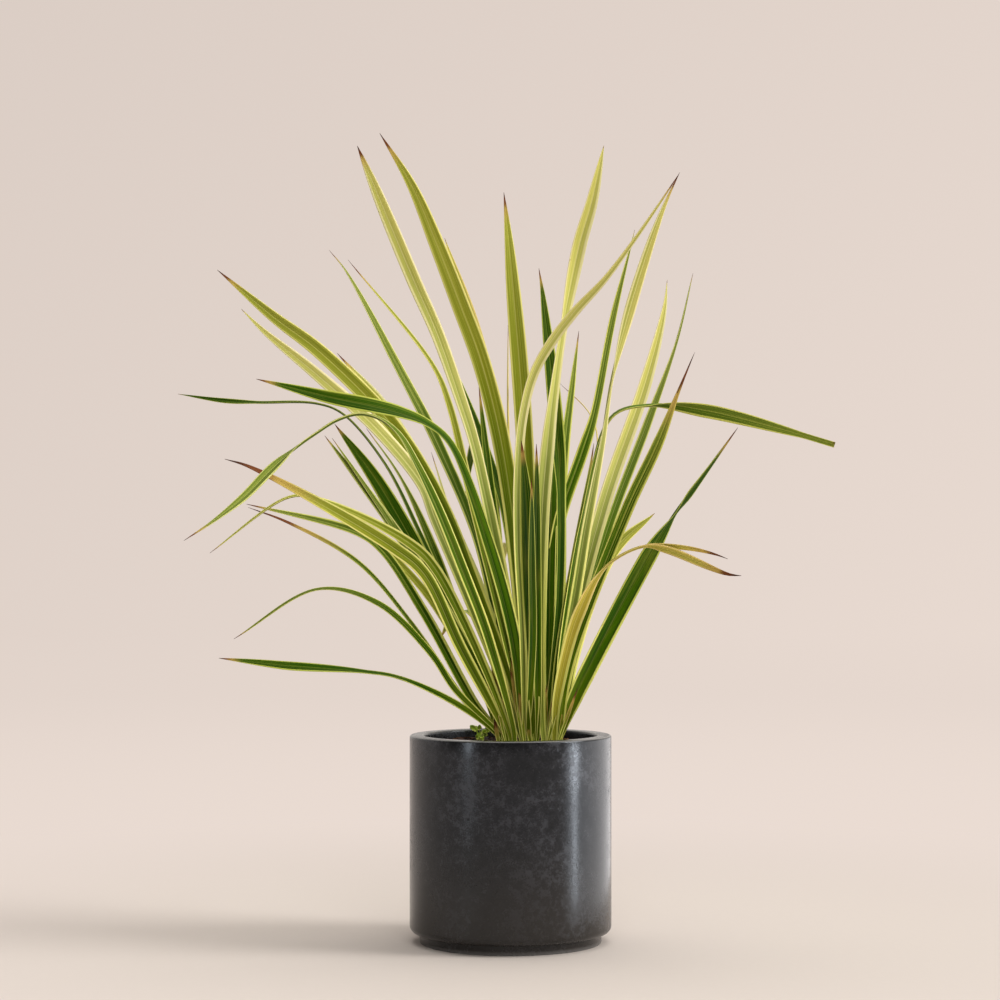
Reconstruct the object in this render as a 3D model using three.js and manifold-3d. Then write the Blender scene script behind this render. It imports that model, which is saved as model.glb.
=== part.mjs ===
import * as THREE from 'three';
import { mergeVertices } from 'three/addons/utils/BufferGeometryUtils.js';
import Module from 'manifold-3d';

// A New Zealand flax with striped leaves, growing in a round dark pot.
// Millimetres, +Z up, and the front of the plant faces -Y.
// The origin is the centre of the pot's underside.

const wasm = await Module();
wasm.setup();

// Pot
const POT_DIAMETER = 242;
const POT_HEIGHT = 248.5;
const WALL = 17.5;
const FLOOR = 24;
const FOOT_DIAMETER = 218;
const FOOT_HEIGHT = 12;
const LOWER_EDGE_RADIUS = 9;
const RIM_EDGE_RADIUS = 3;
const FLOOR_CORNER_RADIUS = 10;
const POT_SIDES = 64;
const DRAIN_HOLES = 3;
const DRAIN_DIAMETER = 12;
const DRAIN_CIRCLE_RADIUS = 62;

// Soil
const SOIL_BELOW_RIM = 10.9;
const SOIL_MOUND = 0.8;
const SOIL_BUMP = 0.5;
const SOIL_RINGS = 7;
const SOIL_SIDES = 32;
const FIT_GAP = 0.3;

// Crowns: the short thick base that the leaves of one fan grow from
const CLUMP_X = 22;
const COLUMN_PITCH = 27.2;
const ROW_PITCH = 24;
const CROWN_HALF_WIDTH = 12.6;
const CROWN_HALF_DEPTH = 10.6;
const CROWN_BOTTOM = 205;
const CROWN_FOOT_HEIGHT = 8;
const CROWN_FOOT_SHARE = 0.8;
const CROWN_SHOULDER = 240;
const CROWN_TOP = 245;
const CROWN_TOP_SHARE = 0.7;
const CROWN_DOME = 1;
const CROWN_SQUARENESS = 4;
const CROWN_SIDES = 16;

// Leaves
const ROOT_Z = 235;
const COLLAR_Z = 243;
const ROOT_SPREAD = 7.2;
const COLLAR_SPREAD = 9.2;
const WIDEST_BASE = 8.2;
const EDGE_THICKNESS = 0.6;
const RIB_THICKNESS = 1.0;
const TIP_WIDTH = 1.5;
const BASE_FOLD = 38;
const TIP_FOLD = 13;
const LEAST_STEPS = 8;
const DEGREES_PER_STEP = 13;
const BEND_SAMPLES = 40;
const FOLD_OPENS_BY = 0.55;
const BASE_SHARE = 0.64;
const BASE_ENDS_BY = 0.12;
const FULL_WIDTH_BY = 0.22;
const TAPER_START = 0.6;
const TAPER = 2.8;
const LEAN_POWER = 1.15;

// The point that the leaves' routes are seen from: in front of the plant, at eye height
const EYE = new THREE.Vector3(-12.6, -2880, 451);

const rad = THREE.MathUtils.degToRad;
const { lerp, smoothstep, clamp, mapLinear } = THREE.MathUtils;

// The fans stand in three columns and three rows. Each leaf has its full width, its lean or
// bearing in degrees, and its route from the base upwards, chosen by hand.
const FANS = [
  {
    name: 'left_front',
    column: -1,
    row: -1,
    leaves: [
      // low flat leaf
      {
        width: 12, lean: -20,
        route: [
          [-55, 277, 45], [-133, 315, 75], [-178, 323, 70], [-271, 331, 15], [-350, 340, 40],
        ],
      },
      // low arching leaf
      {
        width: 10, lean: -13,
        route: [
          [-67, 302, 25], [-97, 346, 40], [-159, 405, 50], [-231, 422, 70], [-332, 363, 60],
        ],
      },
      // brown-tipped leaf
      {
        width: 16, lean: -29, taper: 1.6,
        route: [
          [-62, 355, 20], [-104, 441, 25], [-139, 471, 25], [-313, 569, 55], [-343, 579, 60],
        ],
      },
      // drooping leaf behind it
      {
        width: 13, lean: -22,
        route: [
          [-89, 445, 25], [-123, 479, 25], [-238, 532, 78], [-267, 532, 80], [-361, 466, 60],
        ],
      },
      // long arching leaf over the tip
      {
        width: 15, lean: -32,
        route: [
          [-27, 362, 20], [-61, 452, 30], [-89, 521, 45], [-113, 571, 58], [-135, 608, 68],
          [-157, 626, 80], [-181, 632, 82], [-207, 625, 83], [-233, 609, 84], [-257, 592, 88],
          [-286, 567, 25], [-320, 533, 10], [-355, 505, 45], [-392, 481, 60],
        ],
      },
    ],
  },
  {
    name: 'left_middle',
    column: -1,
    row: 0,
    leaves: [
      // thin leaf to the left
      {
        width: 11, lean: -7,
        route: [
          [-58, 290, 45], [-121, 383, 65], [-183, 454, 66], [-267, 502, 68], [-315, 521, 70],
        ],
      },
      // leaf with a level tip
      {
        width: 14, lean: -3,
        route: [
          [-44, 286, 20], [-103, 392, 30], [-154, 469, 45], [-183, 490, 50], [-317, 525, 60],
        ],
      },
      // olive leaf under the brown tip
      {
        width: 14, lean: 0,
        route: [
          [-94, 406, 50], [-157, 475, 50], [-197, 506, 60],
        ],
      },
      // leaf with a forked tip
      {
        width: 16, lean: 4,
        route: [
          [-81, 401, 30], [-128, 477, 40], [-223, 607, 55],
        ],
      },
      // dark broad leaf
      {
        width: 21, lean: 8,
        route: [
          [-69, 379, 5], [-89, 425, 5], [-161, 553, 10], [-211, 621, 15],
        ],
      },
    ],
  },
  {
    name: 'left_back',
    column: -1,
    row: 1,
    leaves: [
      // thin leaf beside the dark one
      {
        width: 14, lean: 25,
        route: [
          [-88, 458, 40], [-133, 557, 75], [-173, 616, 80],
        ],
      },
      // leaf arching back
      {
        width: 17, bearing: 98,
        route: [
          [16, 105], [80, 255], [150, 335], [230, 370], [315, 350], [370, 300],
        ],
      },
      // low leaf arching back
      {
        width: 16, bearing: 106,
        route: [
          [24, 48], [85, 112], [165, 146], [250, 144], [325, 112],
        ],
      },
      // outermost level leaf
      {
        width: 14, lean: 20,
        route: [
          [-45, 356, 45], [-79, 422, 60], [-109, 487, 70], [-152, 574, 82], [-202, 633, 86],
          [-233, 645, 87], [-307, 646, 70], [-346, 649, 20], [-399, 657, 20],
        ],
      },
    ],
  },
  {
    name: 'middle_front',
    column: 0,
    row: -1,
    leaves: [
      // dark leaf arching left
      {
        width: 22, lean: -18,
        route: [
          [4, 350, 35], [-28, 476, 50], [-73, 595, 66], [-99, 619, 66], [-135, 634, 48],
          [-226, 655, 0], [-305, 675, 30],
        ],
      },
      // leaf arching right
      {
        width: 15, lean: -24,
        route: [
          [14, 362, 30], [8, 476, 40], [8, 566, 45], [14, 632, 45], [27, 682, 45], [49, 721, 45],
          [77, 757, 50], [113, 796, 62], [149, 844, 66], [177, 884, 62], [202, 921, 70],
        ],
      },
      // short leaf in the middle
      {
        width: 10, lean: -42,
        route: [
          [26, 362, 20], [25, 458, 30], [25, 556, 50],
        ],
      },
      // tallest leaf
      {
        width: 22, lean: -11,
        route: [
          [11, 428, 0], [1, 524, 0], [-14, 614, 0], [-35, 695, 0], [-61, 766, 0], [-89, 838, 0],
          [-119, 908, 0], [-157, 970, 15],
        ],
      },
      // dark leaf in the middle
      {
        width: 18, lean: -36,
        route: [
          [22, 434, 10], [19, 518, 15], [13, 601, 30],
        ],
      },
      // young leaf in the middle
      {
        width: 11, lean: -40,
        route: [
          [32, 362, 10], [31, 482, 20], [31, 597, 40],
        ],
      },
    ],
  },
  {
    name: 'middle',
    column: 0,
    row: 0,
    leaves: [
      // pale left leaf
      {
        width: 18, lean: 1,
        route: [
          [-20, 338, 15], [-49, 409, 20], [-91, 508, 30], [-106, 547, 35], [-159, 613, 30],
          [-231, 679, 8], [-298, 734, 12], [-323, 759, 30],
        ],
      },
      // long left leaf
      {
        width: 21, lean: 8,
        route: [
          [-3, 314, 5], [-53, 448, 5], [-76, 506, 10], [-100, 554, 15], [-127, 598, 15],
          [-157, 637, 15], [-232, 710, 10], [-284, 749, 8], [-352, 806, 25],
        ],
      },
      // orange-edged leaf
      {
        width: 13, lean: -8,
        route: [
          [-4, 350, 30], [-46, 524, 40], [-75, 646, 50], [-94, 691, 65], [-195, 818, 76],
        ],
      },
      // yellow leaf
      {
        width: 18, lean: -4, taper: 5,
        route: [
          [4, 350, 15], [-14, 452, 25], [-31, 536, 40], [-46, 602, 42], [-64, 659, 38],
          [-88, 728, 25], [-117, 795, 5], [-184, 955, 5],
        ],
      },
      // tall middle leaf
      {
        width: 22, lean: 4,
        route: [
          [27, 338, 0], [17, 602, 0], [1, 806, 5], [-8, 899, 30],
        ],
      },
    ],
  },
  {
    name: 'middle_back',
    column: 0,
    row: 1,
    leaves: [
      // leaf behind the long left one
      {
        width: 17, lean: 17,
        route: [
          [-43, 434, 25], [-146, 634, 30], [-208, 706, 40],
        ],
      },
      // thin pale leaf
      {
        width: 10, lean: 31,
        route: [
          [-15, 356, 50], [-61, 476, 60], [-95, 587, 72],
        ],
      },
      // grey-green leaf
      {
        width: 17, lean: 28,
        route: [
          [-7, 338, 20], [-41, 482, 40], [-85, 591, 35], [-142, 701, 45], [-199, 806, 70],
          [-218, 830, 75],
        ],
      },
      // tall leaf arching back
      {
        width: 17, bearing: 92,
        route: [
          [14, 140], [50, 280], [115, 392], [205, 458], [300, 466], [375, 425],
        ],
      },
      // low leaf arching back
      {
        width: 15, bearing: 97,
        route: [
          [16, 80], [62, 170], [140, 228], [225, 232], [295, 190],
        ],
      },
      // narrow leaf behind the tallest
      {
        width: 12, lean: 11,
        route: [
          [-13, 458, 20], [-35, 638, 25], [-38, 667, 50],
        ],
      },
      // dark leaf behind the yellow one
      {
        width: 17, lean: 21,
        route: [
          [13, 362, 25], [-10, 524, 50], [-77, 710, 40],
        ],
      },
      // leaf behind the tallest
      {
        width: 16, lean: 14,
        route: [
          [-4, 560, 0], [-40, 728, 0], [-79, 844, 20],
        ],
      },
      // thin upright leaf
      {
        width: 9, lean: 22,
        route: [
          [9, 470, 80], [-3, 614, 84], [-3, 740, 80],
        ],
      },
    ],
  },
  {
    name: 'right_front',
    column: 1,
    row: -1,
    leaves: [
      // tall right leaf
      {
        width: 18, lean: -7, taper: 5,
        route: [
          [35, 350, 0], [38, 518, 10], [43, 584, 20], [49, 644, 45], [63, 743, 62],
          [83, 838, 10], [97, 886, 10], [112, 955, 20],
        ],
      },
      // right leaf with a pinched middle
      {
        width: 17, lean: -14,
        route: [
          [77, 419, 30], [89, 494, 45], [109, 602, 65], [121, 676, 84], [142, 757, 35],
          [171, 848, 25], [188, 892, 45], [203, 923, 65],
        ],
      },
      // broad yellow leaf with a split tip
      {
        width: 15, lean: -25,
        route: [
          [56, 292, 0], [80, 389, 5], [111, 448, 78], [159, 475, 78], [188, 471, 50],
          [261, 441, 30], [277, 439, 30],
        ],
        fork: {
          after: 5,
          width: 9,
          route: [
            [189, 475, 40], [215, 472, 30], [230, 469, 25], [248, 464, 25], [261, 459, 30],
          ],
        },
      },
      // leaf with a long brown tip
      {
        width: 15, lean: -17,
        route: [
          [69, 328, 5], [139, 517, 10], [176, 597, 15], [200, 659, 60], [221, 707, 75],
        ],
      },
    ],
  },
  {
    name: 'right_middle',
    column: 1,
    row: 0,
    leaves: [
      // dark leaf right of the middle
      {
        width: 19, lean: 4,
        route: [
          [57, 410, 50], [59, 542, 50], [56, 602, 15], [39, 772, 25], [34, 808, 45],
        ],
      },
      // pale upright leaf on the right
      {
        width: 19, lean: 6,
        route: [
          [111, 524, 25], [161, 669, 20], [184, 758, 35], [188, 794, 65],
        ],
      },
      // short leaf between
      {
        width: 13, lean: -3,
        route: [
          [56, 332, 20], [88, 524, 45], [100, 598, 65],
        ],
      },
      // level leaf on the right
      {
        width: 20, lean: -6, tip: 7,
        route: [
          [61, 344, 30], [86, 506, 60], [121, 631, 88], [170, 645, 88], [237, 637, 25],
          [338, 611, 0], [389, 596, 10],
        ],
      },
      // folded leaf on the right
      {
        width: 24, lean: 0,
        route: [
          [82, 303, 0], [166, 466, 30], [197, 515, 86], [213, 537, 65], [273, 617, 78],
        ],
      },
    ],
  },
  {
    name: 'right_back',
    column: 1,
    row: 1,
    leaves: [
      // curved upright leaf
      {
        width: 16, lean: 13,
        route: [
          [44, 362, 15], [49, 446, 15], [59, 508, 15], [87, 591, 20], [99, 631, 50],
          [123, 753, 50], [149, 854, 70],
        ],
      },
      // olive leaf in the middle
      {
        width: 14, lean: 28,
        route: [
          [64, 584, 25], [74, 670, 40], [82, 733, 60],
        ],
      },
      // leaf arching back
      {
        width: 16, bearing: 86,
        route: [
          [12, 120], [50, 250], [118, 345], [205, 385], [295, 365], [350, 315],
        ],
      },
      // low leaf arching back
      {
        width: 15, bearing: 80,
        route: [
          [16, 68], [60, 136], [135, 178], [225, 182], [300, 150],
        ],
      },
      // dry curled tip
      {
        width: 7, lean: 33,
        route: [
          [69, 374, 50], [104, 602, 76], [95, 633, 78], [59, 670, 78],
        ],
      },
      // thin-tipped leaf on the right
      {
        width: 16, lean: 15,
        route: [
          [70, 332, 20], [118, 501, 40], [163, 621, 46], [199, 722, 72], [219, 802, 80],
        ],
      },
      // short leaf leaning away
      {
        width: 18, lean: 34,
        route: [
          [73, 338, 15], [122, 467, 20], [173, 514, 20],
        ],
      },
    ],
  },
];

// Solids

function solidFrom(geometry) {
  const bare = new THREE.BufferGeometry();
  bare.setAttribute('position', geometry.getAttribute('position'));
  if (geometry.index) bare.setIndex(geometry.index);
  const merged = mergeVertices(bare, 1e-4);
  return new wasm.Manifold(new wasm.Mesh({
    numProp: 3,
    vertProperties: merged.getAttribute('position').array,
    triVerts: new Uint32Array(merged.index.array),
  }));
}

function meshFrom(solid, name, material) {
  const { numProp, numVert, vertProperties, triVerts } = solid.getMesh();
  const positions = new Float32Array(numVert * 3);
  for (let i = 0; i < numVert; i += 1) {
    positions.set(vertProperties.subarray(i * numProp, i * numProp + 3), i * 3);
  }
  const geometry = new THREE.BufferGeometry();
  geometry.setAttribute('position', new THREE.BufferAttribute(positions, 3));
  geometry.setIndex(new THREE.BufferAttribute(triVerts, 1));
  geometry.computeVertexNormals();
  const mesh = new THREE.Mesh(geometry, material);
  mesh.name = name;
  return mesh;
}

// A profile of [radius, z] points turned round the Z axis.
function turned(profile, sides) {
  const points = profile.map(([r, z]) => new THREE.Vector2(r, z));
  return new THREE.LatheGeometry(points, sides).rotateX(Math.PI / 2);
}

// The points of a quarter circle between two angles in degrees.
function arc(centreR, centreZ, radius, from, to, steps) {
  return Array.from({ length: steps + 1 }, (_, i) => {
    const a = rad(lerp(from, to, i / steps));
    return [centreR + radius * Math.cos(a), centreZ + radius * Math.sin(a)];
  });
}

// Pot

const POT_R = POT_DIAMETER / 2;
const INNER_R = POT_R - WALL;

function makePot() {
  const footR = FOOT_DIAMETER / 2;
  const e = LOWER_EDGE_RADIUS;
  const r = RIM_EDGE_RADIUS;
  const c = FLOOR_CORNER_RADIUS;
  const body = solidFrom(turned([
    [0, 0],
    [footR - 1, 0],
    [footR, 1],
    [footR, FOOT_HEIGHT],
    ...arc(POT_R - e, FOOT_HEIGHT + e, e, -90, 0, 5),
    ...arc(POT_R - r, POT_HEIGHT - r, r, 0, 90, 3),
    ...arc(INNER_R + r, POT_HEIGHT - r, r, 90, 180, 3),
    ...arc(INNER_R - c, FLOOR + c, c, 0, -90, 3),
    [0, FLOOR],
  ], POT_SIDES));
  return Array.from({ length: DRAIN_HOLES }).reduce((pot, _, i) => {
    const a = rad(90 + (360 * i) / DRAIN_HOLES);
    const hole = new THREE.CylinderGeometry(DRAIN_DIAMETER / 2, DRAIN_DIAMETER / 2, 3 * FLOOR, 16)
      .rotateX(Math.PI / 2)
      .translate(DRAIN_CIRCLE_RADIUS * Math.cos(a), DRAIN_CIRCLE_RADIUS * Math.sin(a), 0);
    return pot.subtract(solidFrom(hole));
  }, body);
}

// Crowns

// A side of a circle pushed out towards the square round it.
function squared(share) {
  return Math.sign(share) * Math.abs(share) ** (2 / CROWN_SQUARENESS);
}

function crown(x, y, gap) {
  const geometry = turned([
    [0, CROWN_BOTTOM - gap],
    [CROWN_FOOT_SHARE, CROWN_BOTTOM - gap],
    [1, CROWN_BOTTOM + CROWN_FOOT_HEIGHT],
    [1, CROWN_SHOULDER],
    [CROWN_TOP_SHARE, CROWN_TOP],
    [0, CROWN_TOP + CROWN_DOME],
  ], CROWN_SIDES);
  const p = geometry.getAttribute('position');
  for (let i = 0; i < p.count; i += 1) {
    const r = Math.hypot(p.getX(i), p.getY(i));
    if (r > 0) {
      const wide = r * (CROWN_HALF_WIDTH + gap);
      const deep = r * (CROWN_HALF_DEPTH + gap);
      p.setXY(i, wide * squared(p.getX(i) / r), deep * squared(p.getY(i) / r));
    }
  }
  return solidFrom(geometry.translate(x, y, 0));
}

function crownPlace({ column, row }) {
  return [CLUMP_X + column * COLUMN_PITCH, row * ROW_PITCH];
}

// Soil: fills the pot, a little mounded and lumpy, with a hole for each crown

function makeSoil() {
  const r = INNER_R - FIT_GAP;
  const c = FLOOR_CORNER_RADIUS;
  const top = POT_HEIGHT - SOIL_BELOW_RIM;
  const surface = Array.from({ length: SOIL_RINGS }, (_, i) => {
    const s = 1 - i / SOIL_RINGS;
    return [r * s, top + SOIL_MOUND * (1 - s * s)];
  });
  const geometry = turned([
    [0, FLOOR + FIT_GAP],
    ...arc(r - c, FLOOR + FIT_GAP + c, c, -90, 0, 3),
    ...surface,
    [0, top + SOIL_MOUND],
  ], SOIL_SIDES);
  const p = geometry.getAttribute('position');
  for (let i = 0; i < p.count; i += 1) {
    const x = p.getX(i);
    const y = p.getY(i);
    const onSurface = p.getZ(i) >= top && Math.hypot(x, y) < r - 1;
    if (onSurface) {
      const fine = Math.sin(x * 0.21 + 1.3) * Math.cos(y * 0.17);
      const broad = Math.sin(x * 0.09 - y * 0.13);
      p.setZ(i, p.getZ(i) + 0.5 * SOIL_BUMP * (fine + broad));
    }
  }
  return FANS.reduce((soil, fan) => {
    const [x, y] = crownPlace(fan);
    return soil.subtract(crown(x, y, FIT_GAP));
  }, solidFrom(geometry));
}

// Leaves

// The share of a leaf's full width at a fraction of its length.
function widthShare(t, taper) {
  if (t < TAPER_START) return lerp(BASE_SHARE, 1, smoothstep(t, 0, FULL_WIDTH_BY));
  return 1 - ((t - TAPER_START) / (1 - TAPER_START)) ** taper;
}

// The six corners of a folded blade's section: the upper face left to right, then the lower.
function section(at, across, up, width, fold) {
  const half = 0.5 * width * Math.cos(fold);
  const rise = 0.5 * width * Math.sin(fold);
  const edge = (0.5 * EDGE_THICKNESS) / Math.cos(fold);
  const rib = (0.5 * RIB_THICKNESS) / Math.cos(fold);
  return [
    [-half, rise + edge], [0, rib], [half, rise + edge],
    [half, rise - edge], [0, -rib], [-half, rise - edge],
  ].map(([a, u]) => at.clone().addScaledVector(across, a).addScaledVector(up, u));
}

// How many steps a blade takes along its curve.
function stepsFor(curve) {
  const tangents = Array.from(
    { length: BEND_SAMPLES + 1 },
    (_, i) => curve.getTangentAt(i / BEND_SAMPLES),
  );
  const bend = tangents.slice(1).reduce((sum, v, i) => sum + v.angleTo(tangents[i]), 0);
  return Math.round(LEAST_STEPS + bend / rad(DEGREES_PER_STEP));
}

// A thin blade along a curve. frameAt gives the across and up directions for a tangent,
// and rollAt turns them about it. The more the curve bends, the more steps it has.
function blade(curve, { width, tip = TIP_WIDTH, taper = TAPER }, rollAt, frameAt, start = 0) {
  const steps = Math.ceil(stepsFor(curve) * (1 - start));
  const rings = [];
  for (let i = 0; i <= steps; i += 1) {
    const t = lerp(start, 1, i / steps);
    const tangent = curve.getTangentAt(t);
    const { across, up } = frameAt(tangent);
    const roll = rad(rollAt(t));
    across.applyAxisAngle(tangent, roll);
    up.applyAxisAngle(tangent, roll);
    const most = lerp(WIDEST_BASE / BASE_SHARE, width, clamp(t / BASE_ENDS_BY, 0, 1));
    const wide = Math.max(tip, Math.min(width, most) * widthShare(t, taper));
    const fold = rad(lerp(BASE_FOLD, TIP_FOLD, smoothstep(t, 0, FOLD_OPENS_BY)));
    rings.push(section(curve.getPointAt(t), across, up, wide, fold));
  }
  const positions = rings.flat().flatMap((v) => v.toArray());
  const index = [];
  const n = 6;
  for (let i = 0; i < steps; i += 1) {
    const a = i * n;
    const b = a + n;
    // The upper face and both edges
    for (const [p, q] of [[0, 1], [1, 2], [2, 3], [5, 0]]) {
      index.push(a + p, a + q, b + q, a + p, b + q, b + p);
    }
    // The lower face, split the same way as the upper
    for (const [p, q] of [[5, 4], [4, 3]]) {
      index.push(a + p, b + q, a + q, a + p, b + p, b + q);
    }
  }
  const last = steps * n;
  for (const [p, q, r] of [[0, 5, 1], [1, 5, 4], [1, 4, 2], [2, 4, 3]]) {
    index.push(p, q, r);
    index.push(last + p, last + r, last + q);
  }
  const geometry = new THREE.BufferGeometry();
  geometry.setAttribute('position', new THREE.Float32BufferAttribute(positions, 3));
  geometry.setIndex(index);
  return solidFrom(geometry);
}

// Distances from the first point of a path to each of its points.
function lengthsAlong(path) {
  const lengths = [0];
  for (let i = 1; i < path.length; i += 1) {
    lengths.push(lengths[i - 1] + Math.hypot(...path[i].map((v, k) => v - path[i - 1][k])));
  }
  return lengths;
}

// A function of the fraction along a curve that blends between the route's rolls.
function rollAlong(points, rolls) {
  const lengths = lengthsAlong(points.map((p) => p.toArray()));
  return (t) => {
    const s = t * lengths.at(-1);
    const i = lengths.findIndex((v) => v > 0 && v >= s);
    return mapLinear(s, lengths[i - 1], lengths[i], rolls[i - 1], rolls[i]);
  };
}

// The path of a leaf read from the front. Its route's points are [x, z, roll] as they appear in
// the plane of the pot's axis, and its lean carries it away from the eye (+) or towards it (-).
function seenPath(route, lean, [crownX, crownY], place) {
  const path = [
    [crownX + ROOT_SPREAD * place, ROOT_Z, route[0][2]],
    [crownX + COLLAR_SPREAD * place, COLLAR_Z, route[0][2]],
    ...route,
  ];
  const lengths = lengthsAlong(path.map(([x, z]) => [x, z]));
  const upright = lengths[1];
  const total = lengths.at(-1) - upright;
  const points = path.map(([x, z], i) => {
    const share = Math.max(0, lengths[i] - upright) / total;
    const y = crownY + Math.tan(rad(lean)) * total * share ** LEAN_POWER;
    const distance = (y - EYE.y) / -EYE.y;
    return new THREE.Vector3(
      EYE.x + (x - EYE.x) * distance,
      y,
      EYE.z + (z - EYE.z) * distance,
    );
  });
  return {
    curve: new THREE.CatmullRomCurve3(points, false, 'centripetal'),
    rollAt: rollAlong(points, path.map((p) => p[2])),
    shares: lengths.map((v) => v / lengths.at(-1)),
  };
}

// A blade that faces the front where its roll is 0, and a second one where its tip is split.
function seenLeaf(leaf, crownAt, place) {
  const frameAt = (tangent) => {
    const up = new THREE.Vector3(0, -1, 0).projectOnPlane(tangent).normalize();
    return { across: tangent.clone().cross(up), up };
  };
  const { curve, rollAt } = seenPath(leaf.route, leaf.lean, crownAt, place);
  const whole = blade(curve, leaf, rollAt, frameAt);
  if (!leaf.fork) return whole;
  const { after, width, route } = leaf.fork;
  const tine = seenPath([...leaf.route.slice(0, after), ...route], leaf.lean, crownAt, place);
  return whole.add(blade(tine.curve, { width }, tine.rollAt, frameAt, tine.shares[after + 1]));
}

// A leaf that arches in an upright plane at a bearing, 90 degrees being straight back.
// Its route's points are [outwards, upwards] from the crown's top.
function archingLeaf(leaf, [crownX, crownY], place) {
  const out = new THREE.Vector3(Math.cos(rad(leaf.bearing)), Math.sin(rad(leaf.bearing)), 0);
  const side = new THREE.Vector3(out.y, -out.x, 0);
  const base = new THREE.Vector3(crownX + ROOT_SPREAD * place, crownY, ROOT_Z);
  const collar = new THREE.Vector3(crownX + COLLAR_SPREAD * place, crownY, COLLAR_Z);
  const points = [
    base,
    collar,
    ...leaf.route.map(([o, u]) => collar.clone().addScaledVector(out, o).setZ(COLLAR_Z + u)),
  ];
  const frameAt = (tangent) => {
    const across = side.clone().projectOnPlane(tangent).normalize();
    return { across, up: across.clone().cross(tangent) };
  };
  const curve = new THREE.CatmullRomCurve3(points, false, 'centripetal');
  return blade(curve, leaf, () => 0, frameAt);
}

// The largest body of a solid, with any hollow sealed inside it filled.
function outerBody(solid) {
  return solid.decompose().reduce((a, b) => (b.volume() > a.volume() ? b : a));
}

// A fan: its leaves stand side by side in the crown, in the order in which they lean.
function makeFan(fan) {
  const place = crownPlace(fan);
  const last = fan.leaves.length - 1;
  const blades = fan.leaves.map((leaf, i) => {
    const share = (2 * i) / last - 1;
    return leaf.bearing ? archingLeaf(leaf, place, share) : seenLeaf(leaf, place, share);
  });
  const fused = blades.reduce((whole, part) => whole.add(part), crown(...place, 0));
  return outerBody(fused);
}

// The whole plant

const potMaterial = new THREE.MeshStandardMaterial({ color: 0x26262a, roughness: 0.4, metalness: 0 });
const soilMaterial = new THREE.MeshStandardMaterial({ color: 0x2a1a14, roughness: 1, metalness: 0 });
const leafMaterial = new THREE.MeshStandardMaterial({ color: 0x8c9440, roughness: 0.5, metalness: 0 });

const plant = new THREE.Group();
plant.name = 'potted_new_zealand_flax';
plant.add(meshFrom(makePot(), 'pot', potMaterial));
plant.add(meshFrom(makeSoil(), 'soil', soilMaterial));
FANS.forEach((fan) => plant.add(meshFrom(makeFan(fan), `fan_${fan.name}`, leafMaterial)));

export default plant;
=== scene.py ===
"""A potted New Zealand flax: striped strap leaves in nine fans, in a round charcoal planter.

Metres, +Z up, the front faces -Y. Lengths of the plant, the pot and the soil are in millimetres."""
import math

import bpy
import numpy as np
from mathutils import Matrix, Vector


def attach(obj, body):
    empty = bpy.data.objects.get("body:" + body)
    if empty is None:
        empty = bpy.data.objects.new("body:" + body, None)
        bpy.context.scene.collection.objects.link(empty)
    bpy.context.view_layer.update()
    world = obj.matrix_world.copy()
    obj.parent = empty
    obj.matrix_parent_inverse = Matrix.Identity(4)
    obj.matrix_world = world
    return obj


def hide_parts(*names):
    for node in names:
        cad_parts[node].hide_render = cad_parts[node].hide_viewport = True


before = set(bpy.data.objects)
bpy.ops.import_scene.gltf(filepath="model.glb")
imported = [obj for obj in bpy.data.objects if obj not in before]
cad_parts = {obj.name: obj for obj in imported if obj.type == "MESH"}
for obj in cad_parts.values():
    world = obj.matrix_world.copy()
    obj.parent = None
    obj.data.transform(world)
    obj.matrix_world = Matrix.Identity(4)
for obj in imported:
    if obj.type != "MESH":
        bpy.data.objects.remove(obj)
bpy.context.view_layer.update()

MM = 0.001

# The plant's measures, as in the part's source, in millimetres
POT_DIAMETER = 242
POT_HEIGHT = 248.5
WALL = 17.5
FLOOR = 24
FOOT_DIAMETER = 218
FOOT_HEIGHT = 12
LOWER_EDGE_RADIUS = 9
RIM_EDGE_RADIUS = 3
FLOOR_CORNER_RADIUS = 10
DRAIN_HOLES = 3
DRAIN_DIAMETER = 12
DRAIN_CIRCLE_RADIUS = 62
SOIL_BELOW_RIM = 10.9
SOIL_MOUND = 0.8
FIT_GAP = 0.3
CLUMP_X = 22
COLUMN_PITCH = 27.2
ROW_PITCH = 24
CROWN_HALF_WIDTH = 12.6
CROWN_HALF_DEPTH = 10.6
CROWN_BOTTOM = 205
CROWN_SQUARENESS = 4
ROOT_Z = 235
COLLAR_Z = 243
ROOT_SPREAD = 7.2
COLLAR_SPREAD = 9.2
WIDEST_BASE = 8.2
BASE_FOLD = 38
TIP_FOLD = 13
BASE_SHARE = 0.64
FULL_WIDTH_BY = 0.22
BASE_ENDS_BY = 0.12
FOLD_OPENS_BY = 0.55
TAPER_START = 0.6
TAPER = 2.8
LEAN_POWER = 1.15
# The camera's place, from which the leaves' routes were read
EYE = np.array([-12.6, -2880.0, 451.0])

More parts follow.
